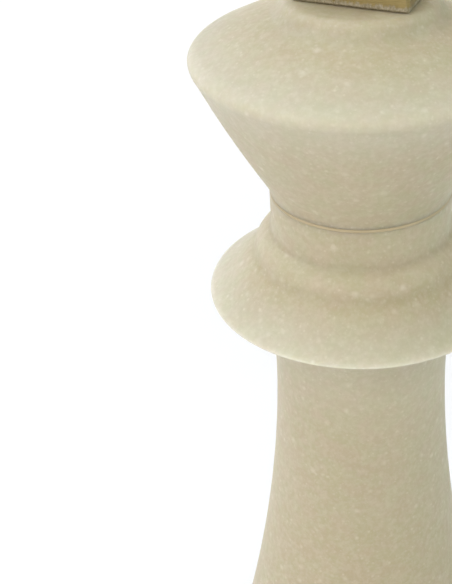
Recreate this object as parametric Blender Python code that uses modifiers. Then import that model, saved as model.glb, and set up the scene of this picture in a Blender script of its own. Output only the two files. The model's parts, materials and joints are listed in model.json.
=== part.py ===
"""A giant chess king: turned stone sections clamped on a steel tie rod, with a brass cross screwed on top.

Metres, +Z up. The origin is on the turning axis at floor level, and the cross lies along X.
A turned outline is written as (radius, height) in units of the collar's rim radius, with
height 0 at that rim.
"""

import math

import bmesh
import bpy
from mathutils import Matrix

# Driving dimensions
UNIT = 0.08  # radius of the collar's rim
FLOOR = -4.9  # floor level in units, below the collar's rim
FIT = 0.0003  # gap kept between neighbours
GROOVE = 0.0009  # chamfer that opens each joint between two sections
STONE_STEPS = 36
SMALL_STEPS = 16

# Joint planes between the sections, in units
HEAD_JOINT = 0.708
COLLAR_JOINT = -0.24
STEM_JOINT = -3.5
PLINTH_JOINT = -4.33
GASKET_THICKNESS = 0.001
GASKET_INSET = 0.0022  # how far a gasket's edge stands back from the stone
GASKET_BORE = 0.0125

# Outline of the stone
KNOB_TOP = 1.955
NECK_RADIUS = 0.583
STEM_TOP_RADIUS = 0.65
WAIST_RADIUS = 0.589
WAIST = -0.69
BELL_TOP_RADIUS = 1.035
BELL_FOOT_RADIUS = 1.36
PLINTH_TOP_RADIUS = 1.38

# Tie rod, its bore and the sleeves that keep the sections in line
ROD_RADIUS = 0.005
THREAD_PITCH = 0.0015
ROD_BORE = 0.006
SLEEVE_RADIUS = 0.011
SLEEVE_BORE = 0.0055
SLEEVE_HALF = 0.012

# Underside: rubber pad, cover plate in a rebate, and the recess for the lower nut
PAD_THICKNESS = 0.0024
PAD_RADIUS = 0.108
COVER_RADIUS = 0.058
COVER_THICKNESS = 0.003
RECESS_RADIUS = 0.034
RECESS_DEPTH = 0.017
PLATE_WASHER_RADIUS = 0.028
PLATE_WASHER_THICKNESS = 0.003
SPRING_WASHER_THICKNESS = 0.0022
NUT_FLATS = 0.016
NUT_HEIGHT = 0.008
ROD_END = 0.0015  # thread left below the lower nut
SCREW_COUNT = 4
SCREW_CIRCLE = 0.048
SCREW_RADIUS = 0.0025
SCREW_HEAD_RADIUS = 0.0046
SCREW_HEAD_HEIGHT = 0.0025
SCREW_LENGTH = 0.012
INSERT_RADIUS = 0.004
INSERT_LENGTH = 0.0095

# Pocket under the cross: washer and coupling nut
POCKET_RADIUS = 0.0098
POCKET_DEPTH = 0.0363
TOP_WASHER_RADIUS = 0.009
TOP_WASHER_THICKNESS = 0.002
COUPLING_LENGTH = 0.03
ROD_IN_COUPLING = 0.013
SEAT_RADIUS = 0.0114
SEAT_THICKNESS = 0.0009

# Cross
CROSS_HEIGHT = 0.085
CROSS_FOOT_HALF_WIDTH = 0.0285
CROSS_HALF_THICKNESS = 0.0175
CROSS_FOOT_HEIGHT = 0.016
CROSS_CORE_HALF_WIDTH = 0.0115
CROSS_ARM_REACH = 0.041
CROSS_EDGE = 0.0018
STUD_IN_CROSS = 0.016
STUD_IN_COUPLING = 0.014
LOCK_PIN_RADIUS = 0.0015
LOCK_PIN_LENGTH = 0.0235
LOCK_PIN_HEIGHT = 0.009

MATERIALS = {  # colour, roughness, metallic
    "cream_stone": ((0.66, 0.60, 0.44), 0.5, 0.0),
    "brass": ((0.60, 0.46, 0.20), 0.35, 1.0),
    "zinc_steel": ((0.55, 0.56, 0.57), 0.4, 1.0),
    "black_rubber": ((0.03, 0.03, 0.03), 0.8, 0.0),
    "brown_gasket": ((0.12, 0.08, 0.05), 0.85, 0.0),
    "white_nylon": ((0.75, 0.75, 0.72), 0.5, 0.0),
    "cover_paint": ((0.10, 0.10, 0.10), 0.5, 0.0),
}


# Heights

def height(level):
    """Height above the floor of a level given in units from the collar's rim."""
    return (level - FLOOR) * UNIT


HALF_JOINT = GASKET_THICKNESS / 2 + FIT
PLINTH_BOTTOM = PAD_THICKNESS + FIT
REBATE_TOP = PLINTH_BOTTOM + COVER_THICKNESS + FIT
RECESS_TOP = REBATE_TOP + RECESS_DEPTH
PLATE_WASHER_BOTTOM = RECESS_TOP - FIT - PLATE_WASHER_THICKNESS
SPRING_WASHER_BOTTOM = PLATE_WASHER_BOTTOM - FIT - SPRING_WASHER_THICKNESS
LOWER_NUT_BOTTOM = SPRING_WASHER_BOTTOM - FIT - NUT_HEIGHT
KNOB_FACE = height(KNOB_TOP)
POCKET_FLOOR = KNOB_FACE - POCKET_DEPTH
TOP_WASHER_BOTTOM = POCKET_FLOOR + FIT
COUPLING_BOTTOM = TOP_WASHER_BOTTOM + TOP_WASHER_THICKNESS + FIT
COUPLING_TOP = COUPLING_BOTTOM + COUPLING_LENGTH
CROSS_BOTTOM = KNOB_FACE + FIT


# Outlines

def bend(start, pull, end, count):
    """Points on a quadratic curve that leaves start towards pull and arrives at end; start is left out."""
    points = []
    for step in range(1, count + 1):
        t = step / count
        points.append(tuple(
            (1 - t) ** 2 * a + 2 * t * (1 - t) * b + t * t * c
            for a, b, c in zip(start, pull, end)
        ))
    return points


def arc(centre, radius, start, end, count):
    """Points on an arc from start to end, in degrees from the outward direction."""
    points = []
    for step in range(count + 1):
        angle = math.radians(start + (end - start) * step / count)
        points.append((centre[0] + radius * math.cos(angle), centre[1] + radius * math.sin(angle)))
    return points


def stone(points):
    """An outline in units as (radius, height above the floor) in metres."""
    return [(radius * UNIT, height(level)) for radius, level in points]


def top_edge(radius, joint):
    """The chamfered edge of a section whose top face lies at this joint."""
    face = height(joint) - HALF_JOINT
    return [(radius * UNIT - GROOVE, face), (radius * UNIT, face - GROOVE)]


def bottom_edge(radius, joint):
    """The chamfered edge of a section whose bottom face lies at this joint."""
    face = height(joint) + HALF_JOINT
    return [(radius * UNIT, face + GROOVE), (radius * UNIT - GROOVE, face)]


def socket_above(joint):
    """The sleeve's socket in the section above a joint, going up."""
    face = height(joint) + HALF_JOINT
    floor = height(joint) + SLEEVE_HALF + FIT
    wall = SLEEVE_RADIUS + FIT
    return [(wall, face), (wall, floor), (ROD_BORE, floor)]


def socket_below(joint):
    """The sleeve's socket in the section below a joint, going up."""
    face = height(joint) - HALF_JOINT
    floor = height(joint) - SLEEVE_HALF - FIT
    wall = SLEEVE_RADIUS + FIT
    return [(ROD_BORE, floor), (wall, floor), (wall, face)]


def head_cone(level):
    """Radius of the head's cone, which swells slightly between its foot and its rim."""
    rise = level - 0.82
    return 0.6204 + 0.605 * rise - 0.0955 * rise ** 2


def stem_radius(level):
    """Radius of the stem, which widens from its waist towards both ends."""
    return WAIST_RADIUS + 0.0683 * abs(level - WAIST) ** 1.762


def head_outline():
    knob_edge = (0.472, 1.916)
    knob_foot = (0.56, 1.848)
    shoulder = (0.94, 1.678)
    rim = (1.03, 1.607)
    cone_top = 1.545
    cone_bottom = 0.8
    cone_steps = 4
    points = [(0.4, KNOB_TOP)]
    points += bend((0.4, KNOB_TOP), (0.45, KNOB_TOP), knob_edge, 3)
    points += bend(knob_edge, (0.503, 1.863), knob_foot, 3)
    points += bend(knob_foot, (0.77, 1.772), shoulder, 3)
    points += bend(shoulder, (1.02, 1.645), rim, 4)
    points += bend(rim, (1.034, 1.583), (head_cone(cone_top), cone_top), 2)
    for step in range(1, cone_steps + 1):
        level = cone_top + (cone_bottom - cone_top) * step / cone_steps
        points.append((head_cone(level), level))
    points += bend(points[-1], (0.59, 0.767), (0.586, 0.745), 2)
    return stone(points) + bottom_edge(NECK_RADIUS, HEAD_JOINT)


def collar_outline():
    bead_top = (0.612, 0.413)
    bead_side = (0.687, 0.345)
    bead_foot = (0.691, 0.3)
    fillet = (0.738, 0.232)
    rim_top = (1.0, 0.004)
    rim_bottom = (0.994, -0.006)
    points = [(NECK_RADIUS, 0.44), bead_top]
    points += bend(bead_top, (0.686, 0.386), bead_side, 3)
    points += [bead_foot]
    points += bend(bead_foot, (0.696, 0.258), fillet, 3)
    points += bend(fillet, (0.91, 0.142), rim_top, 4)
    points += [rim_bottom]
    points += bend(rim_bottom, (0.8, -0.16), (0.68, -0.212), 3)
    return top_edge(NECK_RADIUS, HEAD_JOINT) + stone(points) + bottom_edge(0.67, COLLAR_JOINT)


def stem_outline():
    flare_end = -0.53
    bottom = -3.46
    steps = 10
    points = bend((STEM_TOP_RADIUS, -0.262), (0.585, -0.33), (stem_radius(flare_end), flare_end), 3)
    for step in range(1, steps + 1):
        level = flare_end + (bottom - flare_end) * step / steps
        points.append((stem_radius(level), level))
    foot = bottom_edge(stem_radius(STEM_JOINT), STEM_JOINT)
    return top_edge(STEM_TOP_RADIUS, COLLAR_JOINT) + stone(points) + foot


def base_bell_outline():
    bead = arc((1.03, -3.66), 0.105, 75, -60, 6)
    cove_start = (1.075, -3.77)
    cove_end = (BELL_FOOT_RADIUS, -4.27)
    points = bead + [cove_start]
    points += bend(cove_start, (1.1, -4.2), cove_end, 5)
    return top_edge(BELL_TOP_RADIUS, STEM_JOINT) + stone(points) + bottom_edge(BELL_FOOT_RADIUS, PLINTH_JOINT)


def plinth_outline():
    lip = (1.4, -4.38)
    side = (1.55, -4.57)
    foot = (1.475, FLOOR + PLINTH_BOTTOM / UNIT)
    points = [lip]
    points += bend(lip, (1.54, -4.395), side, 4)
    points += bend(side, (1.557, -4.78), foot, 3)
    return top_edge(PLINTH_TOP_RADIUS, PLINTH_JOINT) + stone(points)


def cross_outline():
    """The cross's outline as (x, height above its foot), counter-clockwise from the bottom right."""
    core = CROSS_CORE_HALF_WIDTH
    reach = CROSS_ARM_REACH
    foot_top = (CROSS_FOOT_HALF_WIDTH, CROSS_FOOT_HEIGHT)
    arm_low = (reach, 0.034)
    arm_high = (reach, 0.064)
    right = [(CROSS_FOOT_HALF_WIDTH, 0.0), foot_top]
    right += bend(foot_top, (core, 0.023), (core, 0.038), 4)
    right += bend((core, 0.041), (0.022, 0.041), arm_low, 3)
    right += [arm_high]
    right += bend(arm_high, (0.022, 0.057), (core, 0.057), 3)
    right += bend((core, 0.06), (core, 0.072), (0.0195, CROSS_HEIGHT), 3)
    left = [(-x, z) for x, z in reversed(right)]
    return right + left


# Making objects

def clear_scene():
    for obj in list(bpy.data.objects):
        bpy.data.objects.remove(obj, do_unlink=True)


def add_collection(name):
    collection = bpy.data.collections.new(name)
    bpy.context.scene.collection.children.link(collection)
    return collection


def make_materials():
    for name, (colour, roughness, metallic) in MATERIALS.items():
        material = bpy.data.materials.new(name)
        material.use_nodes = True
        shader = material.node_tree.nodes["Principled BSDF"]
        shader.inputs["Base Color"].default_value = (*colour, 1.0)
        shader.inputs["Roughness"].default_value = roughness
        shader.inputs["Metallic"].default_value = metallic
        material.diffuse_color = (*colour, 1.0)


def add_part(name, data, material):
    part = bpy.data.objects.new(name, data)
    data.materials.append(bpy.data.materials[material])
    PARTS.objects.link(part)
    return part


def add_cutter(name, data):
    cutter = bpy.data.objects.new(name, data)
    cutter.hide_render = True
    cutter.display_type = "WIRE"
    CUTTERS.objects.link(cutter)
    return cutter


def settle(obj):
    """Turns an object's evaluated shape into its own mesh, shaded smooth between its edges."""
    bpy.context.view_layer.update()
    graph = bpy.context.evaluated_depsgraph_get()
    mesh = bpy.data.meshes.new_from_object(obj.evaluated_get(graph))
    obj.modifiers.clear()
    obj.data = mesh
    mesh.shade_smooth()
    mesh.set_sharp_from_angle(angle=math.radians(35))


def turned_mesh(name, outline, steps, closed):
    """A mesh made by turning an outline that runs down its outer side; a closed one leaves a bore."""
    profile = bpy.data.meshes.new(name + "_outline")
    edges = [(i, i + 1) for i in range(len(outline) - 1)]
    if closed:
        edges.append((len(outline) - 1, 0))
    profile.from_pydata([(radius, 0, z) for radius, z in outline], edges, [])
    lathe = bpy.data.objects.new(name + "_lathe", profile)
    CUTTERS.objects.link(lathe)
    screw = lathe.modifiers.new("Turn", "SCREW")
    screw.steps = screw.render_steps = steps
    screw.use_merge_vertices = True
    screw.merge_threshold = 0.00001
    settle(lathe)
    mesh = lathe.data
    bpy.data.objects.remove(lathe)
    return mesh


def turned(name, outline, material, steps=SMALL_STEPS, closed=True):
    return add_part(name, turned_mesh(name, outline, steps, closed), material)


def ring(inner, outer, bottom, top):
    """The outline of a plain ring."""
    return [(outer, top), (outer, bottom), (inner, bottom), (inner, top)]


def rod_outline(radius, bottom, top, chamfer):
    """The outline of a solid rod with chamfered ends."""
    return [
        (0.0, top),
        (radius - chamfer, top),
        (radius, top - chamfer),
        (radius, bottom + chamfer),
        (radius - chamfer, bottom),
        (0.0, bottom),
    ]


def prism_mesh(name, sides, radius, bottom, top, centre=(0.0, 0.0)):
    """An upright prism or cylinder between two heights."""
    shape = bmesh.new()
    middle = Matrix.Translation((*centre, (bottom + top) / 2))
    bmesh.ops.create_cone(
        shape, cap_ends=True, segments=sides, radius1=radius, radius2=radius,
        depth=top - bottom, matrix=middle,
    )
    mesh = bpy.data.meshes.new(name)
    shape.to_mesh(mesh)
    shape.free()
    return mesh


def cut(part, cutter, operation="DIFFERENCE"):
    boolean = part.modifiers.new(cutter.name, "BOOLEAN")
    boolean.operation = operation
    boolean.object = cutter
    boolean.solver = "EXACT"


def circle_places():
    """Centres of the cover's screws."""
    places = []
    for index in range(SCREW_COUNT):
        angle = math.tau * (index + 0.5) / SCREW_COUNT
        places.append((SCREW_CIRCLE * math.cos(angle), SCREW_CIRCLE * math.sin(angle)))
    return places


def drill_circle(part, name, radius, bottom, top):
    """Cuts a round hole at each of the cover's screw places."""
    for number, centre in enumerate(circle_places(), 1):
        drill = prism_mesh(f"{name}_{number}", 16, radius, bottom, top, centre)
        cut(part, add_cutter(f"{name}_{number}", drill))


# Stone sections

def make_plinth():
    recess = [
        (COVER_RADIUS + FIT, PLINTH_BOTTOM),
        (COVER_RADIUS + FIT, REBATE_TOP),
        (RECESS_RADIUS, REBATE_TOP),
        (RECESS_RADIUS, RECESS_TOP),
        (ROD_BORE, RECESS_TOP),
    ]
    outline = plinth_outline() + recess + socket_below(PLINTH_JOINT)
    plinth = turned("plinth", outline, "cream_stone", STONE_STEPS)
    insert_room = REBATE_TOP + INSERT_LENGTH + 3 * FIT
    drill_circle(plinth, "insert_drill", INSERT_RADIUS + FIT, PLINTH_BOTTOM, insert_room)
    settle(plinth)


def make_middle_sections():
    bell = base_bell_outline() + socket_above(PLINTH_JOINT) + socket_below(STEM_JOINT)
    stem = stem_outline() + socket_above(STEM_JOINT) + socket_below(COLLAR_JOINT)
    collar = collar_outline() + socket_above(COLLAR_JOINT) + socket_below(HEAD_JOINT)
    turned("base_bell", bell, "cream_stone", STONE_STEPS)
    turned("stem", stem, "cream_stone", STONE_STEPS)
    turned("collar", collar, "cream_stone", STONE_STEPS)


def make_head():
    seat_wall = SEAT_RADIUS + FIT
    seat_floor = KNOB_FACE - SEAT_THICKNESS - FIT
    pocket = [
        (ROD_BORE, POCKET_FLOOR),
        (POCKET_RADIUS, POCKET_FLOOR),
        (POCKET_RADIUS, seat_floor),
        (seat_wall, seat_floor),
        (seat_wall, KNOB_FACE),
    ]
    outline = head_outline() + socket_above(HEAD_JOINT) + pocket
    turned("head", outline, "cream_stone", STONE_STEPS)


def make_joint_pieces():
    """A gasket between each two sections, and the sleeve that lines up their bores."""
    joints = {
        "plinth": (PLINTH_JOINT, BELL_FOOT_RADIUS),
        "stem": (STEM_JOINT, stem_radius(STEM_JOINT)),
        "collar": (COLLAR_JOINT, STEM_TOP_RADIUS),
        "head": (HEAD_JOINT, NECK_RADIUS),
    }
    for name, (joint, radius) in joints.items():
        plane = height(joint)
        half = GASKET_THICKNESS / 2
        gasket = ring(GASKET_BORE, radius * UNIT - GASKET_INSET, plane - half, plane + half)
        sleeve = ring(SLEEVE_BORE, SLEEVE_RADIUS, plane - SLEEVE_HALF, plane + SLEEVE_HALF)
        turned(f"{name}_gasket", gasket, "brown_gasket")
        turned(f"{name}_sleeve", sleeve, "white_nylon", 12)


# Clamping hardware

def make_tie_rod():
    bottom = LOWER_NUT_BOTTOM - ROD_END
    top = COUPLING_BOTTOM + ROD_IN_COUPLING
    turned("tie_rod", rod_outline(ROD_RADIUS, bottom, top, 0.001), "zinc_steel", closed=False)


def make_nut(name, bottom, length):
    """A hexagon nut with turned corners, around a rod."""
    corner = NUT_FLATS / math.sqrt(3)
    chamfer = 0.0012
    nut = add_part(name, prism_mesh(name, 6, corner, bottom, bottom + length), "zinc_steel")
    turned_corners = rod_outline(corner, bottom, bottom + length, chamfer)
    lathe = add_cutter(f"{name}_corners", turned_mesh(name, turned_corners, SMALL_STEPS, False))
    bore = prism_mesh(name, SMALL_STEPS, ROD_RADIUS + FIT, bottom - FIT, bottom + length + FIT)
    cut(nut, lathe, "INTERSECT")
    cut(nut, add_cutter(f"{name}_bore", bore))
    settle(nut)


def make_lower_clamp():
    bore = ROD_RADIUS + FIT
    plate = ring(bore, PLATE_WASHER_RADIUS, PLATE_WASHER_BOTTOM, PLATE_WASHER_BOTTOM + PLATE_WASHER_THICKNESS)
    spring = ring(bore, 0.009, SPRING_WASHER_BOTTOM, SPRING_WASHER_BOTTOM + SPRING_WASHER_THICKNESS)
    turned("rod_plate_washer", plate, "zinc_steel")
    spring_washer = turned("rod_spring_washer", spring, "zinc_steel")
    slit = bmesh.new()
    slot = Matrix.LocRotScale(
        (0.008, 0, SPRING_WASHER_BOTTOM), Matrix.Rotation(math.radians(25), 3, "X"), (0.008, 0.0008, 0.009)
    )
    bmesh.ops.create_cube(slit, size=1, matrix=slot)
    slit_mesh = bpy.data.meshes.new("spring_washer_slit")
    slit.to_mesh(slit_mesh)
    slit.free()
    cut(spring_washer, add_cutter("spring_washer_slit", slit_mesh))
    settle(spring_washer)
    make_nut("rod_lower_nut", LOWER_NUT_BOTTOM, NUT_HEIGHT)


def make_upper_clamp():
    washer_top = TOP_WASHER_BOTTOM + TOP_WASHER_THICKNESS
    washer = ring(ROD_RADIUS + FIT, TOP_WASHER_RADIUS, TOP_WASHER_BOTTOM, washer_top)
    turned("rod_top_washer", washer, "zinc_steel")
    make_nut("coupling_nut", COUPLING_BOTTOM, COUPLING_LENGTH)


# Underside

def make_cover():
    top = PLINTH_BOTTOM + COVER_THICKNESS
    cover = add_part("base_cover", prism_mesh("base_cover", STONE_STEPS, COVER_RADIUS, PLINTH_BOTTOM, top),
                     "cover_paint")
    drill_circle(cover, "cover_drill", SCREW_HEAD_RADIUS + FIT, PLINTH_BOTTOM - FIT, top + FIT)
    settle(cover)


def make_cover_screws():
    """Screws whose heads fill the cover's holes, each in its threaded insert."""
    head_bottom = PLINTH_BOTTOM
    head_top = head_bottom + SCREW_HEAD_HEIGHT
    tip = head_bottom + SCREW_LENGTH
    chamfer = 0.0004
    screw_outline = [
        (0.0, tip),
        (SCREW_RADIUS - chamfer, tip),
        (SCREW_RADIUS, tip - chamfer),
        (SCREW_RADIUS, head_top),
        (SCREW_HEAD_RADIUS, head_top),
        (SCREW_HEAD_RADIUS, head_bottom + chamfer),
        (SCREW_HEAD_RADIUS - chamfer, head_bottom),
        (0.0, head_bottom),
    ]
    insert_bottom = REBATE_TOP + FIT
    insert_outline = ring(SCREW_RADIUS + FIT, INSERT_RADIUS, insert_bottom, insert_bottom + INSERT_LENGTH)
    screw_mesh = turned_mesh("cover_screw", screw_outline, 12, False)
    insert_mesh = turned_mesh("cover_insert", insert_outline, 12, True)
    socket = prism_mesh("screw_socket", 6, 0.0018, head_bottom - FIT, head_bottom + 0.0016)
    for number, (x, y) in enumerate(circle_places(), 1):
        screw = add_part(f"cover_screw_{number}", screw_mesh.copy(), "zinc_steel")
        key = add_cutter(f"screw_socket_{number}", socket)
        cut(screw, key)
        settle(screw)
        screw.location = (x, y, 0)
        key.location = (x, y, 0)
        insert = add_part(f"cover_insert_{number}", insert_mesh.copy(), "brass")
        insert.location = (x, y, 0)


def make_base_pad():
    outline = rod_outline(PAD_RADIUS, 0.0, PAD_THICKNESS, 0.0005)
    turned("base_pad", outline, "black_rubber", STONE_STEPS, False)


# Cross, which unscrews from the coupling nut

def make_cross(pivot):
    outline = bpy.data.curves.new("cross_outline", "CURVE")
    outline.dimensions = "2D"
    outline.fill_mode = "BOTH"
    outline.extrude = CROSS_HALF_THICKNESS
    spline = outline.splines.new("POLY")
    points = cross_outline()
    spline.points.add(len(points) - 1)
    for point, (x, z) in zip(spline.points, points):
        point.co = (x, z, 0, 1)
    spline.use_cyclic_u = True
    flat = bpy.data.objects.new("cross_outline", outline)
    flat.rotation_euler.x = math.radians(90)
    CUTTERS.objects.link(flat)
    bpy.context.view_layer.update()
    graph = bpy.context.evaluated_depsgraph_get()
    mesh = bpy.data.meshes.new_from_object(flat.evaluated_get(graph))
    mesh.transform(flat.matrix_world)
    bpy.data.objects.remove(flat)
    shape = bmesh.new()
    shape.from_mesh(mesh)
    bmesh.ops.remove_doubles(shape, verts=shape.verts, dist=0.00001)
    bmesh.ops.recalc_face_normals(shape, faces=shape.faces)
    shape.to_mesh(mesh)
    shape.free()
    cross = add_part("cross", mesh, "brass")
    cross.parent = pivot
    edge = cross.modifiers.new("Edge", "BEVEL")
    edge.width = CROSS_EDGE
    edge.segments = 1
    edge.limit_method = "ANGLE"
    edge.angle_limit = math.radians(40)
    bore = prism_mesh("stud_drill", SMALL_STEPS, ROD_RADIUS + FIT, -FIT, STUD_IN_CROSS + FIT)
    drill = add_cutter("stud_drill", bore)
    drill.parent = pivot
    cut(cross, drill)
    cut(cross, lock_pin_drill(pivot, "cross_pin_drill"))
    settle(cross)


def lock_pin_drill(pivot, name):
    """A hole for the lock pin, from behind the cross and through the stud."""
    reach = LOCK_PIN_LENGTH + 2 * FIT
    drill = add_cutter(name, prism_mesh(name, 16, LOCK_PIN_RADIUS + FIT, 0, reach))
    drill.parent = pivot
    drill.location = (0, CROSS_HALF_THICKNESS + FIT, LOCK_PIN_HEIGHT)
    drill.rotation_euler.x = math.radians(90)
    return drill


def make_stud(pivot):
    bottom = COUPLING_TOP - STUD_IN_COUPLING - CROSS_BOTTOM
    outline = rod_outline(ROD_RADIUS, bottom, STUD_IN_CROSS, 0.001)
    stud = turned("cross_stud", outline, "zinc_steel", closed=False)
    stud.parent = pivot
    cut(stud, lock_pin_drill(pivot, "stud_pin_drill"))
    settle(stud)


def make_lock_pin(pivot):
    outline = rod_outline(LOCK_PIN_RADIUS, 0, LOCK_PIN_LENGTH, 0.0003)
    pin = turned("stud_lock_pin", outline, "zinc_steel", 12, False)
    pin.parent = pivot
    pin.location = (0, CROSS_HALF_THICKNESS - FIT, LOCK_PIN_HEIGHT)
    pin.rotation_euler.x = math.radians(90)


def make_finial():
    """The cross, its stud and pin turn together about an empty on the axis; the seat washer only rises."""
    pivot = bpy.data.objects.new("cross_pivot", None)
    pivot.location = (0, 0, CROSS_BOTTOM)
    PARTS.objects.link(pivot)
    make_cross(pivot)
    make_stud(pivot)
    make_lock_pin(pivot)
    seat = ring(ROD_RADIUS + FIT, SEAT_RADIUS, KNOB_FACE - SEAT_THICKNESS, KNOB_FACE)
    turned("seat_washer", seat, "white_nylon")


clear_scene()
PARTS = add_collection("giant_chess_king")
CUTTERS = add_collection("cutters")
make_materials()
make_plinth()
make_middle_sections()
make_head()
make_joint_pieces()
make_tie_rod()
make_lower_clamp()
make_upper_clamp()
make_cover()
make_cover_screws()
make_base_pad()
make_finial()
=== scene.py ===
"""The looks of the giant chess king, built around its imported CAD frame.

Metres, +Z up. A turned outline is written as (radius, height) in units of the collar's rim radius, with
height 0 at that rim, as the part's own design has it.
"""

import json
import math

import bmesh
import bpy
from mathutils import Matrix, Vector


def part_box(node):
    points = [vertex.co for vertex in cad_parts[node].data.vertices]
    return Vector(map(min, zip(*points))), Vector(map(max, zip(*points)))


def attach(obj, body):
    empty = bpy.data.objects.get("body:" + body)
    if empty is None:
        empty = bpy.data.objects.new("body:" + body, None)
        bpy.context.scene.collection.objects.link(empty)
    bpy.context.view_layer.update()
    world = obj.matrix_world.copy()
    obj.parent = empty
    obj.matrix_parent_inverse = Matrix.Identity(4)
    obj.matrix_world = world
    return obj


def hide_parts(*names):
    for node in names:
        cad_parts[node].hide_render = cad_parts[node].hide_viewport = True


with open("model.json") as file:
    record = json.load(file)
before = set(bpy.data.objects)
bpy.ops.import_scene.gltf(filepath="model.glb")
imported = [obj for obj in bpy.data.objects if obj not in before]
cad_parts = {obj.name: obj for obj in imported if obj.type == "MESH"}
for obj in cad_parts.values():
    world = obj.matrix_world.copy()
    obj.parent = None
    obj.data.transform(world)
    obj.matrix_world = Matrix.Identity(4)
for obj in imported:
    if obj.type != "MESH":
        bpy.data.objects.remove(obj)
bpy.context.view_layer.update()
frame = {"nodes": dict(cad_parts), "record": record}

# Sizes read from the frame
COLLAR_LOW, COLLAR_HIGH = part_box("collar")
HEAD_LOW, HEAD_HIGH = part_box("head")
CROSS_LOW, CROSS_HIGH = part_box("cross")
SEAT_LOW, SEAT_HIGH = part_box("seat_washer")
SLEEVE_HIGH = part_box("head_sleeve")[1]
TOP_WASHER_LOW, TOP_WASHER_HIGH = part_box("rod_top_washer")
UNIT = (COLLAR_HIGH.x - COLLAR_LOW.x) / 2
KNOB_TOP = 1.955
RIM_HEIGHT = HEAD_HIGH.z - KNOB_TOP * UNIT

# Shape constants, in metres
EDGE = 0.0003  # rounding of the stone at each joint
FIT = 0.0003  # gap between pieces, as in the CAD
BORE = 0.0113
ROD_BORE = 0.006
POCKET_CLEARANCE = 0.0008  # round the washer in the pocket under the cross
FOOT_HALF_WIDTH = 0.0285
FOOT_TRIM = 0.0005  # depth filed off the bevel under the cross
STUD_HOLE_LENGTH = 0.04
THREAD_PITCH = 0.0015
THREAD_DEPTH = 0.0009

# Steps round a turned piece, and the angles in degrees above which an edge is sharp
TURN_STEPS = 160
WASHER_STEPS = 64
THREAD_STEPS = 48
SMALL_STEPS = 32  # the lock pin and the drilled holes
SHARP_TURNED = 40
SHARP_CAST = 25
SHARP_THREAD = 50

# Radii and heights of the outlines, in collar radii
NECK_RADIUS = 0.583
COLLAR_FOOT_RADIUS = 0.67
STEM_TOP_RADIUS = 0.65
WAIST_RADIUS = 0.589
WAIST = -0.69
STEM_FOOT = -3.5
BELL_TOP_RADIUS = 1.035
BELL_FOOT_RADIUS = 1.36
PLINTH_TOP_RADIUS = 1.38

# Camera and lights, with distances in metres
CAMERA_HEADING = math.radians(18.7)  # from the cross's front towards +X
CAMERA_PITCH = math.radians(33.36)  # below the level
CAMERA_DISTANCE = 6.754 * UNIT
CAMERA_RISE = 4.342 * UNIT  # over the collar's rim
CAMERA_LENS = 73.97
CAMERA_SHIFT = -0.2314
LIGHT_DISTANCE = 2.4
LIGHT_SIZE = 1.2
WORLD_STRENGTH = 0.2


# Outlines

def bend(start, pull, end, count):
    """Points on a quadratic curve that leaves start towards pull and arrives at end; start is left out."""
    points = []
    for step in range(1, count + 1):
        t = step / count
        points.append(tuple(
            (1 - t) ** 2 * a + 2 * t * (1 - t) * b + t * t * c
            for a, b, c in zip(start, pull, end)
        ))
    return points


def arc(centre, radius, start, end, count):
    """Points on an arc from start to end, in degrees from the outward direction."""
    points = []
    for step in range(count + 1):
        angle = math.radians(start + (end - start) * step / count)
        points.append((centre[0] + radius * math.cos(angle), centre[1] + radius * math.sin(angle)))
    return points


def stone(points):
    """An outline in units as (radius, height above the floor) in metres."""
    return [(radius * UNIT, RIM_HEIGHT + level * UNIT) for radius, level in points]


def top_edge(radius, face):
    """The softened edge of a section under the joint above it."""
    edge = radius * UNIT
    return [(edge - EDGE, face), *arc((edge - EDGE, face - EDGE), EDGE, 75, 0, 4)]


def bottom_edge(radius, face):
    """The softened edge of a section over the joint below it."""
    edge = radius * UNIT
    return [*arc((edge - EDGE, face + EDGE), EDGE, 0, -75, 4), (edge - EDGE, face)]


def head_cone(level):
    rise = level - 0.82
    return 0.6204 + 0.605 * rise - 0.0955 * rise ** 2


def stem_radius(level):
    return WAIST_RADIUS + 0.0683 * abs(level - WAIST) ** 1.762


def head_outline():
    knob_flat = (0.4, KNOB_TOP)
    knob_edge = (0.472, 1.916)
    knob_foot = (0.56, 1.848)
    shoulder = (0.94, 1.678)
    rim = (1.03, 1.607)
    cone_top = 1.545
    cone_bottom = 0.8
    cone_steps = 16
    neck_top = (0.5845, 0.74)
    points = [knob_flat]
    points += bend(knob_flat, (0.45, KNOB_TOP), knob_edge, 10)
    points += bend(knob_edge, (0.503, 1.863), knob_foot, 10)
    points += bend(knob_foot, (0.77, 1.772), shoulder, 14)
    points += bend(shoulder, (1.02, 1.645), rim, 14)
    points += bend(rim, (1.034, 1.583), (head_cone(cone_top), cone_top), 10)
    for step in range(1, cone_steps + 1):
        level = cone_top + (cone_bottom - cone_top) * step / cone_steps
        points.append((head_cone(level), level))
    points += bend(points[-1], (0.59, 0.767), neck_top, 8)
    return stone(points) + bottom_edge(NECK_RADIUS, HEAD_LOW.z)


def collar_outline():
    neck_foot = (NECK_RADIUS, 0.468)
    bead_top = (0.609, 0.422)
    bead_side = (0.682, 0.343)
    bead_foot = (0.696, 0.295)
    fillet = (0.738, 0.232)
    rim_top = (0.998, 0.007)
    rim_bottom = (0.994, -0.006)
    underside_end = (0.68, -0.212)
    points = [neck_foot]
    points += bend(neck_foot, (0.584, 0.434), bead_top, 10)
    points += bend(bead_top, (0.66, 0.388), bead_side, 12)
    points += bend(bead_side, (0.69, 0.322), bead_foot, 4)
    points += bend(bead_foot, (0.705, 0.262), fillet, 8)
    points += bend(fillet, (0.845, 0.108), rim_top, 14)
    points += bend(rim_top, (1.0024, 0.0), rim_bottom, 4)
    points += bend(rim_bottom, (0.8, -0.16), underside_end, 10)
    bottom = bottom_edge(COLLAR_FOOT_RADIUS, COLLAR_LOW.z)
    return top_edge(NECK_RADIUS, COLLAR_HIGH.z) + stone(points) + bottom


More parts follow.
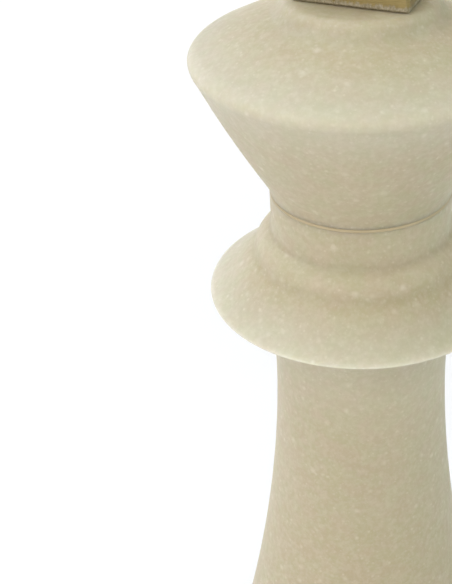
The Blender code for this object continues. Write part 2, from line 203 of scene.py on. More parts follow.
def stem_outline(low, high):
    flare_start = (STEM_TOP_RADIUS, -0.262)
    flare_end = -0.53
    lowest = -3.46
    steps = 40
    points = bend(flare_start, (0.585, -0.33), (stem_radius(flare_end), flare_end), 10)
    for step in range(1, steps + 1):
        level = flare_end + (lowest - flare_end) * step / steps
        points.append((stem_radius(level), level))
    bottom = bottom_edge(stem_radius(STEM_FOOT), low)
    return top_edge(STEM_TOP_RADIUS, high) + stone(points) + bottom


def base_bell_outline(low, high):
    bead_centre = (1.03, -3.66)
    bead_radius = 0.105
    cove_start = (1.075, -3.79)
    cove_end = (BELL_FOOT_RADIUS, -4.27)
    points = arc(bead_centre, bead_radius, 75, -60, 20)
    points += bend(points[-1], (1.076, -3.762), cove_start, 3)
    points += bend(cove_start, (1.1, -4.2), cove_end, 20)
    return top_edge(BELL_TOP_RADIUS, high) + stone(points) + bottom_edge(BELL_FOOT_RADIUS, low)


def plinth_outline(low, high):
    shoulder = (PLINTH_TOP_RADIUS, -4.362)
    lip = (1.4, -4.38)
    side = (1.55, -4.57)
    foot = (1.475, (low - RIM_HEIGHT) / UNIT)
    points = bend(shoulder, (PLINTH_TOP_RADIUS, -4.379), lip, 4)
    points += bend(lip, (1.54, -4.395), side, 14)
    points += bend(side, (1.557, -4.78), foot, 12)
    return top_edge(PLINTH_TOP_RADIUS, high) + stone(points)


def cross_outline():
    """The cross's outline as (x, height above its foot), counter-clockwise from the bottom right."""
    core = 0.0115
    reach = CROSS_HIGH.x
    foot_top = (FOOT_HALF_WIDTH, 0.016)
    arm_low = (reach, 0.034)
    arm_high = (reach, 0.064)
    top = (0.0195, CROSS_HIGH.z - CROSS_LOW.z)
    right = [(FOOT_HALF_WIDTH, -FOOT_TRIM), foot_top]
    right += bend(foot_top, (core, 0.023), (core, 0.038), 16)
    right += bend((core, 0.041), (0.022, 0.041), arm_low, 12)
    right += [arm_high]
    right += bend(arm_high, (0.022, 0.057), (core, 0.057), 12)
    right += bend((core, 0.06), (core, 0.072), top, 12)
    left = [(-x, z) for x, z in reversed(right)]
    return right + left


# Node materials

class Nodes:
    """Short calls for building one material's node tree."""

    def __init__(self, name):
        self.material = bpy.data.materials.new(name)
        self.material.use_nodes = True
        self.tree = self.material.node_tree
        self.shader = self.tree.nodes["Principled BSDF"]
        self.place = self.add("ShaderNodeTexCoord").outputs["Object"]

    def add(self, kind, **settings):
        node = self.tree.nodes.new(kind)
        for key, value in settings.items():
            setattr(node, key, value)
        return node

    def link(self, source, target):
        if isinstance(source, bpy.types.NodeSocket):
            self.tree.links.new(source, target)
        else:
            target.default_value = source

    def noise(self, scale, detail=3.0, roughness=0.5, where=None):
        node = self.add("ShaderNodeTexNoise")
        self.link(where or self.place, node.inputs["Vector"])
        node.inputs["Scale"].default_value = scale
        node.inputs["Detail"].default_value = detail
        node.inputs["Roughness"].default_value = roughness
        return node.outputs["Fac"]

    def ramp(self, value, low, high, start=0.0, end=1.0, smooth=True):
        node = self.add("ShaderNodeMapRange", clamp=True)
        node.interpolation_type = "SMOOTHSTEP" if smooth else "LINEAR"
        for socket, amount in zip(("Value", "From Min", "From Max", "To Min", "To Max"),
                                  (value, low, high, start, end)):
            self.link(amount, node.inputs[socket])
        return node.outputs["Result"]

    def math(self, operation, a, b=0.0):
        node = self.add("ShaderNodeMath", operation=operation)
        self.link(a, node.inputs[0])
        self.link(b, node.inputs[1])
        return node.outputs["Value"]

    def length(self, a, b):
        """The long side of a right triangle with the sides a and b."""
        squares = self.math("ADD", self.math("MULTIPLY", a, a), self.math("MULTIPLY", b, b))
        return self.math("SQRT", squares)

    def mix(self, amount, a, b):
        node = self.add("ShaderNodeMix", data_type="RGBA", blend_type="MIX")
        self.link(amount, node.inputs["Factor"])
        self.link(a, node.inputs["A"])
        self.link(b, node.inputs["B"])
        return node.outputs["Result"]

    def stretched(self, scale):
        node = self.add("ShaderNodeMapping")
        self.link(self.place, node.inputs["Vector"])
        node.inputs["Scale"].default_value = scale
        return node.outputs["Vector"]

    def shifted(self, amount, scale):
        """Object coordinates pushed about by noise."""
        noise = self.add("ShaderNodeTexNoise")
        self.link(self.place, noise.inputs["Vector"])
        noise.inputs["Scale"].default_value = scale
        centred = self.add("ShaderNodeVectorMath", operation="SUBTRACT")
        self.link(noise.outputs["Color"], centred.inputs[0])
        centred.inputs[1].default_value = (0.5, 0.5, 0.5)
        scaled = self.add("ShaderNodeVectorMath", operation="SCALE")
        self.link(centred.outputs["Vector"], scaled.inputs[0])
        scaled.inputs["Scale"].default_value = amount
        moved = self.add("ShaderNodeVectorMath", operation="ADD")
        self.link(self.place, moved.inputs[0])
        self.link(scaled.outputs["Vector"], moved.inputs[1])
        return moved.outputs["Vector"]

    def parts(self):
        """The three object coordinates as sockets."""
        node = self.add("ShaderNodeSeparateXYZ")
        self.link(self.place, node.inputs["Vector"])
        return node.outputs

    def bump(self, value, distance, strength=1.0, normal=None):
        node = self.add("ShaderNodeBump")
        self.link(value, node.inputs["Height"])
        node.inputs["Distance"].default_value = distance
        node.inputs["Strength"].default_value = strength
        if normal:
            self.link(normal, node.inputs["Normal"])
        return node.outputs["Normal"]

    def finish(self, **sockets):
        for name, value in sockets.items():
            self.link(value, self.shader.inputs[name.replace("_", " ")])
        return self.material


def rgb(red, green, blue):
    """A colour given as display values from 0 to 255."""
    linear = []
    for value in (red, green, blue):
        part = value / 255
        linear.append(part / 12.92 if part <= 0.04045 else ((part + 0.055) / 1.055) ** 2.4)
    return (*linear, 1.0)


# Display colours of the stone and the brass
STONE_PINK = (189, 177, 149)
STONE_GREEN = (186, 180, 147)
STONE_PALE = (193, 185, 158)
# Painted light: the paler tone along the thin rim edges and at the stem's top.
STONE_PAINTED_LIGHT = (222, 228, 216)
# Painted shade: the yellower, darker tone down the stem and in the coves.
STONE_PAINTED_SHADE = (173, 154, 108)
# Painted shadow of the cross's foot on the head's top.
STONE_FOOT_SHADOW = (118, 100, 66)
GRAIN = (236, 231, 219)
BRASS_DARK = (160, 144, 98)
BRASS_LIGHT = (186, 170, 122)
BRASS_LINE = (136, 121, 80)
BRASS_WORN = (206, 198, 170)
BRASS_FILED_DARK = (136, 126, 98)
BRASS_FILED_LIGHT = (184, 176, 152)


def specks(nodes, scale, share, size, core, offset):
    """Soft grains: in a share of the cells, a spot of its own size and strength round the cell's point."""
    smallest, faintest = 0.5, 0.35
    wander, wander_scale = 0.12, 1.7
    direction = (1.0, 1.7, 0.6)
    shifted = nodes.add("ShaderNodeVectorMath", operation="ADD")
    nodes.link(nodes.shifted(wander / scale, scale * wander_scale), shifted.inputs[0])
    shifted.inputs[1].default_value = tuple(offset * part for part in direction)
    cell = nodes.add("ShaderNodeTexVoronoi", feature="F1")
    nodes.link(shifted.outputs["Vector"], cell.inputs["Vector"])
    cell.inputs["Scale"].default_value = scale
    pick = nodes.add("ShaderNodeSeparateColor")
    nodes.link(cell.outputs["Color"], pick.inputs["Color"])
    chosen = nodes.math("LESS_THAN", pick.outputs["Red"], share)
    reach = nodes.ramp(pick.outputs["Green"], 0.0, 1.0, size * smallest, size, smooth=False)
    spot = nodes.ramp(cell.outputs["Distance"], nodes.math("MULTIPLY", reach, core), reach, 1.0, 0.0)
    strength = nodes.ramp(pick.outputs["Blue"], 0.0, 1.0, faintest, 1.0, smooth=False)
    return nodes.math("MULTIPLY", nodes.math("MULTIPLY", spot, chosen), strength)


def ring(nodes, radius, level, reach):
    """How near a point is to a circle round the axis: 1 on it, 0 beyond its reach."""
    x, y, z = nodes.parts()
    aside = nodes.math("SUBTRACT", nodes.length(x, y), radius * UNIT)
    above = nodes.math("SUBTRACT", z, RIM_HEIGHT + level * UNIT)
    return nodes.ramp(nodes.length(aside, above), 0.0, reach * UNIT, 1.0, 0.0)


def painted_foot_shadow(nodes):
    """How near a point of the head's top is to the cross's foot: the mask of the painted shadow that the foot
    casts on the stone.
    """
    reach = 0.026
    overlap = 0.006  # how far under the foot the falloff starts
    raggedness = 0.0015
    side_fade = 2.2  # how much sooner the painted shadow ends beside the foot than in front of it
    middle_width, faded_width, faded = 0.004, 0.03, 0.45
    top_start, top_full = 0.012, 0.004  # depths below the head's top
    x, y, z = nodes.parts()
    across = nodes.math("MAXIMUM", nodes.math("SUBTRACT", nodes.math("ABSOLUTE", x), FOOT_HALF_WIDTH), 0.0)
    along = nodes.math("MAXIMUM", nodes.math("SUBTRACT", nodes.math("ABSOLUTE", y), CROSS_HIGH.y), 0.0)
    gap = nodes.length(nodes.math("MULTIPLY", across, side_fade), along)
    ragged = nodes.ramp(nodes.noise(140, 3, 0.6), 0.3, 0.7, -raggedness, raggedness)
    near = nodes.ramp(nodes.math("ADD", gap, ragged), -overlap, reach, 1.0, 0.0)
    middle = nodes.ramp(nodes.math("ABSOLUTE", x), middle_width, faded_width, 1.0, faded)
    on_top = nodes.ramp(z, HEAD_HIGH.z - top_start, HEAD_HIGH.z - top_full)
    return nodes.math("MULTIPLY", nodes.math("MULTIPLY", near, middle), on_top)


def cream_stone():
    """Honed stone: close cream tones that drift from pinkish to greenish, milky clusters and white grains.

    It has painted light, a paler tone, along the thin rim edges and at the stem's top, and painted shade,
    yellower and darker, down the stem and in the coves.
    """
    nodes = Nodes("cream_stone_honed")
    blotch = nodes.ramp(nodes.noise(95, 3, 0.55, nodes.shifted(0.004, 60)), 0.36, 0.64)
    drift = nodes.ramp(nodes.noise(9, 3, 0.5), 0.35, 0.65)
    milk = nodes.ramp(nodes.noise(330, 3, 0.65), 0.36, 0.72)
    clouds = nodes.ramp(nodes.noise(150, 3, 0.6, nodes.shifted(0.003, 90)), 0.38, 0.7)
    # Painted shade, darker and yellower towards the bottom of the stem.
    low_shade_from, low_shade_full = RIM_HEIGHT - 0.5 * UNIT, RIM_HEIGHT - 2.3 * UNIT
    painted_low_shade = nodes.ramp(nodes.parts()["Z"], low_shade_full, low_shade_from, 1.0, 0.0)
    # Painted shade in the coves at the knob's foot and over the collar.
    knob_cove_shade = ring(nodes, 0.62, 1.8, 0.2)
    collar_cove_shade = ring(nodes, 0.72, 0.25, 0.13)
    # Painted light along the head's and collar's rim edges, and at the stem's top where the collar's shadow
    # falls.
    head_rim_light = ring(nodes, 1.0, 1.58, 0.34)
    collar_rim_light = ring(nodes, 0.97, 0.01, 0.34)
    stem_top_light = nodes.math("MULTIPLY", ring(nodes, 0.62, -0.42, 0.5), 0.5)
    painted_rim_light = nodes.math("MAXIMUM", nodes.math("MAXIMUM", head_rim_light, collar_rim_light), stem_top_light)
    layers = [
        (STONE_PALE, 0.3, drift),
        # painted shade down the stem
        (STONE_PAINTED_SHADE, 0.19, painted_low_shade),
        # painted shade in the coves
        (STONE_PAINTED_SHADE, 0.17, nodes.math("MAXIMUM", knob_cove_shade, collar_cove_shade)),
        # painted light along the rim edges and at the stem's top
        (STONE_PAINTED_LIGHT, 0.2, painted_rim_light),
        (GRAIN, 0.06, clouds),
        (GRAIN, 0.15, milk),
        (GRAIN, 0.2, specks(nodes, scale=520, share=0.55, size=0.46, core=0.1, offset=7.7)),
        (GRAIN, 0.28, specks(nodes, scale=290, share=0.5, size=0.42, core=0.1, offset=1.3)),
        (GRAIN, 0.31, specks(nodes, scale=150, share=0.5, size=0.42, core=0.05, offset=0.0)),
        # painted shadow of the cross's foot on the head's top
        (STONE_FOOT_SHADOW, 0.55, painted_foot_shadow(nodes)),
    ]
    colour = nodes.mix(blotch, rgb(*STONE_PINK), rgb(*STONE_GREEN))
    for tone, amount, where in layers:
        colour = nodes.mix(nodes.math("MULTIPLY", where, amount), colour, rgb(*tone))
    roughness = nodes.ramp(nodes.noise(60, 3, 0.6), 0.3, 0.7, 0.5, 0.62)
    grit = nodes.bump(nodes.noise(900, 2, 0.6), 0.0001, 0.3)
    normal = nodes.bump(nodes.noise(70, 3, 0.5), 0.0004, 0.2, grit)
    nodes.shader.inputs["Subsurface Weight"].default_value = 1.0
    nodes.shader.inputs["Subsurface Radius"].default_value = (0.9, 0.95, 1.1)
    nodes.shader.inputs["Subsurface Scale"].default_value = 0.012
    nodes.shader.inputs["Specular IOR Level"].default_value = 0.5
    return nodes.finish(Base_Color=colour, Roughness=roughness, Normal=normal)


def brushed_brass():
    """Brass brushed across its faces, tarnished in patches, rubbed paler on its edges, filed at its foot."""
    filed_full, filed_none, raggedness = 0.0017, 0.0032, 0.0009  # heights over the foot
    filed_roughness, filed_metal = 0.7, 0.15
    edge_radius = 0.0012
    nodes = Nodes("brushed_brass")
    tarnish = nodes.ramp(nodes.noise(45, 4, 0.6, nodes.shifted(0.01, 30)), 0.3, 0.75)
    lines = nodes.noise(1, 3, 0.7, nodes.stretched((60, 60, 2600)))
    scratches = nodes.noise(1, 2, 0.6, nodes.stretched((1500, 1500, 90)))
    strokes = nodes.ramp(nodes.noise(1, 3, 0.75, nodes.stretched((1100, 1100, 600))), 0.3, 0.7)
    colour = nodes.mix(tarnish, rgb(*BRASS_DARK), rgb(*BRASS_LIGHT))
    brushed = nodes.mix(nodes.ramp(lines, 0.35, 0.7, 0.0, 0.3), colour, rgb(*BRASS_LINE))
    bevel = nodes.add("ShaderNodeBevel", samples=4)
    bevel.inputs["Radius"].default_value = edge_radius
    straight = nodes.add("ShaderNodeNewGeometry").outputs["Normal"]
    turn = nodes.add("ShaderNodeVectorMath", operation="DOT_PRODUCT")
    nodes.link(bevel.outputs["Normal"], turn.inputs[0])
    nodes.link(straight, turn.inputs[1])
    near_edge = nodes.ramp(turn.outputs["Value"], 0.8, 0.98, 1.0, 0.0)
    rubbed = nodes.math("MULTIPLY", near_edge, nodes.ramp(scratches, 0.35, 0.6, 0.3, 0.9))
    worn = nodes.mix(rubbed, brushed, rgb(*BRASS_WORN))
    teeth = nodes.noise(1, 3, 0.7, nodes.stretched((700, 700, 120)))
    ragged = nodes.ramp(teeth, 0.3, 0.7, -raggedness, raggedness)
    height = nodes.math("ADD", nodes.parts()["Z"], ragged)
    filed = nodes.ramp(height, CROSS_LOW.z + filed_full, CROSS_LOW.z + filed_none, 1.0, 0.0)
    bare = nodes.mix(strokes, rgb(*BRASS_FILED_DARK), rgb(*BRASS_FILED_LIGHT))
    polish = nodes.ramp(lines, 0.3, 0.7, 0.34, 0.5)
    return nodes.finish(
        Base_Color=nodes.mix(filed, worn, bare),
        Roughness=nodes.math("MAXIMUM", polish, nodes.math("MULTIPLY", filed, filed_roughness)),
        Metallic=nodes.ramp(filed, 0.0, 1.0, 1.0, filed_metal),
        Normal=nodes.bump(lines, 0.00005, 0.5),
    )


def zinc_steel():
    """Zinc-plated steel: faint spangle and dull worn dots."""
    nodes = Nodes("zinc_plated_steel")
    spangle = nodes.ramp(nodes.noise(220, 3, 0.6), 0.3, 0.7)
    colour = nodes.mix(spangle, rgb(150, 154, 160), rgb(186, 188, 190))
    wear = nodes.mix(nodes.ramp(nodes.noise(900, 2, 0.5), 0.62, 0.75), colour, rgb(120, 116, 108))
    roughness = nodes.ramp(nodes.noise(350, 3, 0.6), 0.3, 0.7, 0.28, 0.48)
    nodes.shader.inputs["Metallic"].default_value = 1.0
    return nodes.finish(Base_Color=wear, Roughness=roughness, Normal=nodes.bump(spangle, 0.00004, 0.4))


def soft_plastic(name, dark, light, roughness, grain):
    """A moulded or pressed material: two close tones, fine grain and uneven sheen."""
    nodes = Nodes(name)
    tone = nodes.mix(nodes.ramp(nodes.noise(60, 3, 0.6), 0.3, 0.7), dark, light)
    texture = nodes.noise(grain, 2, 0.6)
    fleck = nodes.mix(nodes.ramp(texture, 0.62, 0.8, 0.0, 0.5), tone, light)
    gloss = nodes.ramp(nodes.noise(140, 2, 0.5), 0.3, 0.7, roughness - 0.08, roughness + 0.08)
    return nodes.finish(Base_Color=fleck, Roughness=gloss, Normal=nodes.bump(texture, 0.00015, 0.5))


STONE = cream_stone()
BRASS = brushed_brass()
STEEL = zinc_steel()
RUBBER = soft_plastic("black_rubber_pad", rgb(22, 22, 22), rgb(44, 43, 42), 0.78, 700)
GASKET = soft_plastic("tan_gasket_rubber", rgb(184, 170, 137), rgb(192, 178, 145), 0.8, 900)
NYLON = soft_plastic("white_nylon_moulded", rgb(212, 211, 204), rgb(230, 229, 224), 0.45, 500)
PAINT = soft_plastic("black_powder_coat", rgb(26, 26, 27), rgb(46, 46, 47), 0.5, 1600)


# Pieces

def add_piece(name, mesh, body, material, replaced):
    """Puts a finished mesh in the scene, riding on its body in place of a CAD node."""
    piece = bpy.data.objects.new(name, mesh)
    bpy.context.scene.collection.objects.link(piece)
    mesh.materials.clear()
    mesh.materials.append(material)
    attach(piece, body)
    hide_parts(replaced)


def smooth(mesh, sharp):
    mesh.shade_smooth()
    mesh.set_sharp_from_angle(angle=math.radians(sharp))


def bake(obj, sharp):
    """Turns an object's evaluated shape into its own mesh, shaded smooth between its edges."""
    bpy.context.view_layer.update()
    graph = bpy.context.evaluated_depsgraph_get()
    mesh = bpy.data.meshes.new_from_object(obj.evaluated_get(graph))
    obj.modifiers.clear()
    obj.data = mesh
    smooth(mesh, sharp)
    return mesh


def turned_mesh(name, outline, steps=TURN_STEPS, closed=True):
    """A mesh turned from an outline that runs down its outer side; a closed one leaves a bore."""
    profile = bpy.data.meshes.new(name)
    edges = [(i, i + 1) for i in range(len(outline) - 1)]
    if closed:
        edges.append((len(outline) - 1, 0))
    profile.from_pydata([(radius, 0, z) for radius, z in outline], edges, [])
    lathe = bpy.data.objects.new(name, profile)
    bpy.context.scene.collection.objects.link(lathe)
    screw = lathe.modifiers.new("Turn", "SCREW")
    screw.steps = screw.render_steps = steps
    screw.use_merge_vertices = True
    screw.merge_threshold = 0.00001
    mesh = bake(lathe, SHARP_TURNED)
    bpy.data.objects.remove(lathe)
    return mesh


def make_stone():
    """The five stone sections; the head also has the pocket for the coupling nut and the washer's seat."""
    bell_low, bell_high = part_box("base_bell")
    stem_low, stem_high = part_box("stem")
    plinth_low, plinth_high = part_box("plinth")
    outlines = {
        "collar": (collar_outline(), COLLAR_LOW, COLLAR_HIGH),
        "stem": (stem_outline(stem_low.z, stem_high.z), stem_low, stem_high),
        "base_bell": (base_bell_outline(bell_low.z, bell_high.z), bell_low, bell_high),
        "plinth": (plinth_outline(plinth_low.z, plinth_high.z), plinth_low, plinth_high),
    }
    for node, (outline, low, high) in outlines.items():
        bore = [(BORE, low.z), (BORE, high.z)]
        mesh = turned_mesh(node, outline + bore)
        add_piece(f"{node}_turned", mesh, "piece", STONE, node)
    sleeve_top = SLEEVE_HIGH.z + FIT
    pocket_floor = TOP_WASHER_LOW.z - FIT
    pocket_radius = TOP_WASHER_HIGH.x + POCKET_CLEARANCE
    seat_radius = SEAT_HIGH.x + FIT
    seat_floor = SEAT_LOW.z - FIT
    bore = [
        (BORE, HEAD_LOW.z),
        (BORE, sleeve_top),
        (ROD_BORE, sleeve_top),
        (ROD_BORE, pocket_floor),
        (pocket_radius, pocket_floor),
        (pocket_radius, seat_floor),
        (seat_radius, seat_floor),
        (seat_radius, HEAD_HIGH.z - EDGE),
        (seat_radius + EDGE, HEAD_HIGH.z),
    ]
    mesh = turned_mesh("head", head_outline() + bore)
    add_piece("head_turned", mesh, "piece", STONE, "head")


def make_gaskets():
    """Joint rings whose edges bulge almost to the stone's surface."""
    radii = {
        "head": NECK_RADIUS,
        "collar": STEM_TOP_RADIUS,
        "stem": stem_radius(STEM_FOOT),
        "plinth": BELL_FOOT_RADIUS,
    }
    inner = 0.0125
    inset = 0.00005
    edge = 0.0002
    squeeze = 0.9 * FIT  # growth up and down into the gaps
    for name, radius in radii.items():
        low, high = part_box(f"{name}_gasket")
        bottom = low.z - squeeze
        top = high.z + squeeze
        outer = radius * UNIT - inset
        rounded = [
            *arc((outer - edge, top - edge), edge, 90, 0, 3),
            *arc((outer - edge, bottom + edge), edge, 0, -90, 3),
        ]
        mesh = turned_mesh(f"{name}_gasket", rounded + [(inner, bottom), (inner, top)])
        add_piece(f"{name}_gasket_ring", mesh, "piece", GASKET, f"{name}_gasket")


def make_base_pad():
    """The rubber foot: flat, with rounded edges and shallow grip rings under it."""
    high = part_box("base_pad")[1]
    edge = 0.0006
    groove_depth = 0.0007
    groove_width = 0.0016
    groove_spacing = 0.008
    plain_middle = 0.02
    outer = high.x
    outline = [(0.0, high.z), (outer - edge, high.z)]
    outline += arc((outer - edge, high.z - edge), edge, 75, 0, 4)
    outline += arc((outer - edge, edge), edge, 0, -90, 4)
    radius = outer - groove_spacing
    while radius > plain_middle:
        outline += [
            (radius, 0.0),
            (radius - groove_width / 4, groove_depth),
            (radius - 3 * groove_width / 4, groove_depth),
            (radius - groove_width, 0.0),
        ]
        radius -= groove_spacing
    outline.append((0.0, 0.0))
    mesh = turned_mesh("base_pad", outline, closed=False)
    add_piece("base_pad_ribbed", mesh, "piece", RUBBER, "base_pad")


def cross_mesh():
    """The cross's flat shape given its thickness."""
    outline = [Vector((x, CROSS_HIGH.y, CROSS_LOW.z + z)) for x, z in cross_outline()]
    shape = bmesh.new()
    face = shape.faces.new([shape.verts.new(point) for point in outline])
    grown = bmesh.ops.extrude_face_region(shape, geom=[face])
    moved = [item for item in grown["geom"] if isinstance(item, bmesh.types.BMVert)]
    bmesh.ops.translate(shape, verts=moved, vec=(0, CROSS_LOW.y - CROSS_HIGH.y, 0))
    bmesh.ops.recalc_face_normals(shape, faces=shape.faces)
    mesh = bpy.data.meshes.new("cross_cast")
    shape.to_mesh(mesh)
    shape.free()
    return mesh


def file_flat(mesh, height):
    """Cuts a closed mesh flat at a height and keeps what is above it."""
    shape = bmesh.new()
    shape.from_mesh(mesh)
    cut = bmesh.ops.bisect_plane(
        shape,
        geom=[*shape.verts, *shape.edges, *shape.faces],
        plane_co=(0, 0, height),
        plane_no=(0, 0, -1),
        clear_outer=True,
    )
    rim = [item for item in cut["geom_cut"] if isinstance(item, bmesh.types.BMEdge)]
    bmesh.ops.contextual_create(shape, geom=rim)
    shape.to_mesh(mesh)
    shape.free()


def make_drill(name, radius, matrix, depth):
    """A cylinder that cuts a hole."""
    shape = bmesh.new()
    bmesh.ops.create_cone(
        shape, cap_ends=True, segments=SMALL_STEPS, radius1=radius, radius2=radius, depth=depth, matrix=matrix
    )
    mesh = bpy.data.meshes.new(name)
    shape.to_mesh(mesh)
    shape.free()
    drill = bpy.data.objects.new(name, mesh)
    bpy.context.scene.collection.objects.link(drill)
    return drill


def make_cross():
    """The cross, bevelled, filed flat under its foot, and drilled for the stud and its lock pin."""
    stud_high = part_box("cross_stud")[1]
    pin_low, pin_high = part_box("stud_lock_pin")
    raw = bpy.data.objects.new("cross_raw", cross_mesh())
    bpy.context.scene.collection.objects.link(raw)
    edge = raw.modifiers.new("Edge", "BEVEL")
    edge.width = 0.0018
    edge.segments = 3
    edge.profile = 0.35
    edge.limit_method = "ANGLE"
    edge.angle_limit = math.radians(40)
    file_flat(bake(raw, SHARP_CAST), CROSS_LOW.z)
    stud_radius = stud_high.x + FIT
    stud_place = Matrix.Translation((0, 0, stud_high.z - STUD_HOLE_LENGTH / 2 + FIT))
    pin_radius = (pin_high.x - pin_low.x) / 2 + FIT
    pin_length = pin_high.y - pin_low.y
    pin_middle = (0, pin_low.y + pin_length / 2, (pin_high.z + pin_low.z) / 2)
    pin_place = Matrix.Translation(pin_middle) @ Matrix.Rotation(math.radians(90), 4, "X")
    drills = [
        make_drill("stud_hole", stud_radius, stud_place, STUD_HOLE_LENGTH),
        make_drill("pin_hole", pin_radius, pin_place, pin_length + 4 * FIT),
    ]
    for drill in drills:
        hole = raw.modifiers.new(drill.name, "BOOLEAN")
        hole.object = drill
        hole.solver = "EXACT"
    mesh = bake(raw, SHARP_CAST)
    for obj in [raw, *drills]:
        bpy.data.objects.remove(obj)
    add_piece("cross_bevelled", mesh, "finial", BRASS, "cross")


def threaded_mesh(name, radius, low, high):
    """A rod with a helical thread: the surface moves in and out as it climbs round the axis."""
    steps = THREAD_STEPS
    rows_per_turn = 8
    runout = 0.0012
    flank = 2.6  # how steeply the thread's sides rise
    rows = int((high - low) / THREAD_PITCH * rows_per_turn)
    points = []
    for row in range(rows + 1):
        z = low + (high - low) * row / rows
        taper = min(1.0, (z - low) / runout, (high - z) / runout)
        for step in range(steps):
            turn = step / steps
            phase = (z / THREAD_PITCH - turn) % 1.0
            crest = min(1.0, flank * abs(phase - 0.5))
            reach = radius - THREAD_DEPTH * (1 - crest * taper)
            points.append((reach * math.cos(math.tau * turn), reach * math.sin(math.tau * turn), z))
    faces = []
    for row in range(rows):
        for step in range(steps):
            a = row * steps + step
            b = row * steps + (step + 1) % steps
            faces.append((a, b, b + steps, a + steps))
    faces.append(tuple(reversed(range(steps))))
    faces.append(tuple(rows * steps + step for step in range(steps)))
    mesh = bpy.data.meshes.new(name)
    mesh.from_pydata(points, [], faces)
    smooth(mesh, SHARP_THREAD)
    return mesh


def make_finial_hardware():
    """The threaded stud, its lock pin and the seat washer."""
    low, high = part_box("cross_stud")
    stud = threaded_mesh("stud_thread", high.x, low.z, high.z)
    add_piece("cross_stud_threaded", stud, "finial", STEEL, "cross_stud")
    low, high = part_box("stud_lock_pin")
    radius = (high.x - low.x) / 2
    length = high.y - low.y
    edge = 0.0004
    outline = [(0.0, length), *arc((radius - edge, length - edge), edge, 90, 0, 4)]
    outline += [(radius, edge), (radius - edge, 0.0), (0.0, 0.0)]
    pin = turned_mesh("lock_pin", outline, SMALL_STEPS, closed=False)
    middle = ((high.x + low.x) / 2, low.y, (high.z + low.z) / 2)
    pin.transform(Matrix.Translation(middle) @ Matrix.Rotation(math.radians(-90), 4, "X"))
    add_piece("stud_lock_pin_round", pin, "finial", STEEL, "stud_lock_pin")
    edge = 0.0002
    hole = 0.0053
    outline = arc((SEAT_HIGH.x - edge, SEAT_HIGH.z - edge), edge, 90, 0, 3)
    outline += arc((SEAT_HIGH.x - edge, SEAT_LOW.z + edge), edge, 0, -90, 3)
    outline += [(hole, SEAT_LOW.z), (hole, SEAT_HIGH.z)]
    seat = turned_mesh("seat_washer", outline, WASHER_STEPS)
    add_piece("seat_washer_round", seat, "cross_seat", NYLON, "seat_washer")


def dress_cad_nodes():
    """The CAD nodes that stay get the material of their slot."""
    by_slot = {
        "zinc_steel": STEEL,
        "brass": BRASS,
        "white_nylon": NYLON,
        "brown_gasket": GASKET,
        "cover_paint": PAINT,
        "black_rubber": RUBBER,
        "cream_stone": STONE,
    }
    slots = {row["node"]: row["material_slot"] for row in frame["record"]["subparts"]}
    for node, obj in frame["nodes"].items():
        for index in range(len(obj.material_slots)):
            obj.material_slots[index].material = by_slot[slots[node]]


# Stage, lights and camera

def make_floor():
    """A pale plain floor."""
    reach = 6.0
    corners = [(-reach, -reach, 0), (reach, -reach, 0), (reach, reach, 0), (-reach, reach, 0)]
    mesh = bpy.data.meshes.new("floor")
    mesh.from_pydata(corners, [], [(0, 1, 2, 3)])
    floor = bpy.data.objects.new("floor", mesh)
    bpy.context.scene.collection.objects.link(floor)
    nodes = Nodes("pale_floor")
    tone = nodes.mix(nodes.ramp(nodes.noise(3, 2, 0.5), 0.3, 0.7), rgb(250, 250, 250), rgb(252, 252, 252))
    mesh.materials.append(nodes.finish(Base_Color=tone, Roughness=0.9))


def make_soft_box(name, place, target, power, tint):
    """A square area light that faces its target."""
    data = bpy.data.lights.new(name, "AREA")
    data.shape = "RECTANGLE"
    data.size = data.size_y = LIGHT_SIZE
    data.energy = power
    data.color = tint
    light = bpy.data.objects.new(name, data)
    light.location = place
    light.rotation_euler = (target - place).to_track_quat("-Z", "Y").to_euler()
    bpy.context.scene.collection.objects.link(light)


def make_world():
    world = bpy.data.worlds.new("soft_white")
    world.use_nodes = True
    background = world.node_tree.nodes["Background"]
    background.inputs["Color"].default_value = (1, 1, 1, 1)
    background.inputs["Strength"].default_value = WORLD_STRENGTH
    bpy.context.scene.world = world


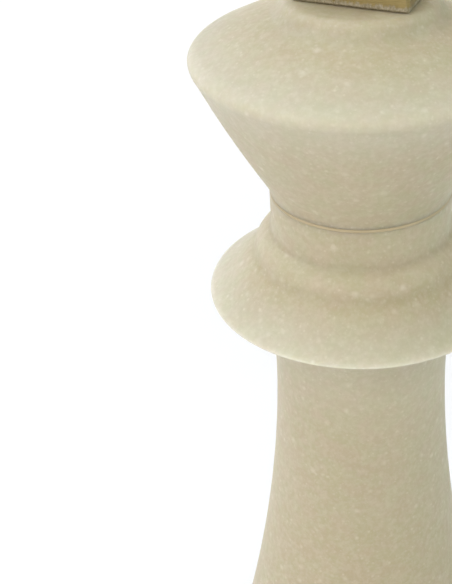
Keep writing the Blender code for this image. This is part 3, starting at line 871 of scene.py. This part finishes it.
def make_camera():
    """The view from above the piece's front right; the frame is cut from the left of the camera's picture."""
    data = bpy.data.cameras.new("camera")
    data.lens = CAMERA_LENS
    data.shift_x = CAMERA_SHIFT
    data.clip_start = 0.01
    camera = bpy.data.objects.new("camera", data)
    camera.location = (
        CAMERA_DISTANCE * math.sin(CAMERA_HEADING),
        -CAMERA_DISTANCE * math.cos(CAMERA_HEADING),
        RIM_HEIGHT + CAMERA_RISE,
    )
    camera.rotation_euler = (math.pi / 2 - CAMERA_PITCH, 0, CAMERA_HEADING)
    bpy.context.scene.collection.objects.link(camera)
    bpy.context.scene.camera = camera


def light_scene():
    """Soft boxes round the piece: turn from the camera's direction, elevation, power in watts and tint."""
    boxes = {
        "left_high": (-90, 62, 20.5, (0.9, 1.0, 1.1)),
        "left_side": (-90, 38, 2.0, (0.9, 1.0, 1.1)),
        "front_high": (0, 38, 13.1, (1.09, 1.0, 0.9)),
        "front_left_high": (-45, 38, 10.0, (1.1, 1.0, 1.09)),
        "front_left_low": (-45, 12, 7.8, (1.1, 1.0, 0.9)),
        "front_right_high": (45, 38, 6.5, (0.9, 1.0, 0.9)),
        "right_high": (90, 38, 13.4, (0.9, 1.0, 0.97)),
        "back_high": (180, 62, 5.3, (1.08, 1.0, 1.1)),
        "back_low": (180, 12, 9.5, (1.1, 1.0, 0.9)),
        "back_left_low": (-135, 12, 9.5, (1.03, 1.0, 1.01)),
        "back_left_high": (-135, 38, 3.8, (0.9, 1.0, 1.1)),
    }
    target = Vector((0, 0, RIM_HEIGHT))
    for name, (turn, elevation, power, tint) in boxes.items():
        heading = CAMERA_HEADING + math.radians(turn)
        rise = math.radians(elevation)
        level = math.cos(rise)
        away = Vector((math.sin(heading) * level, -math.cos(heading) * level, math.sin(rise)))
        make_soft_box(name, target + away * LIGHT_DISTANCE, target, power, tint)
    make_world()
    bpy.context.scene.view_settings.view_transform = "Standard"


make_stone()
make_gaskets()
make_base_pad()
make_cross()
make_finial_hardware()
dress_cad_nodes()
make_floor()
light_scene()
make_camera()
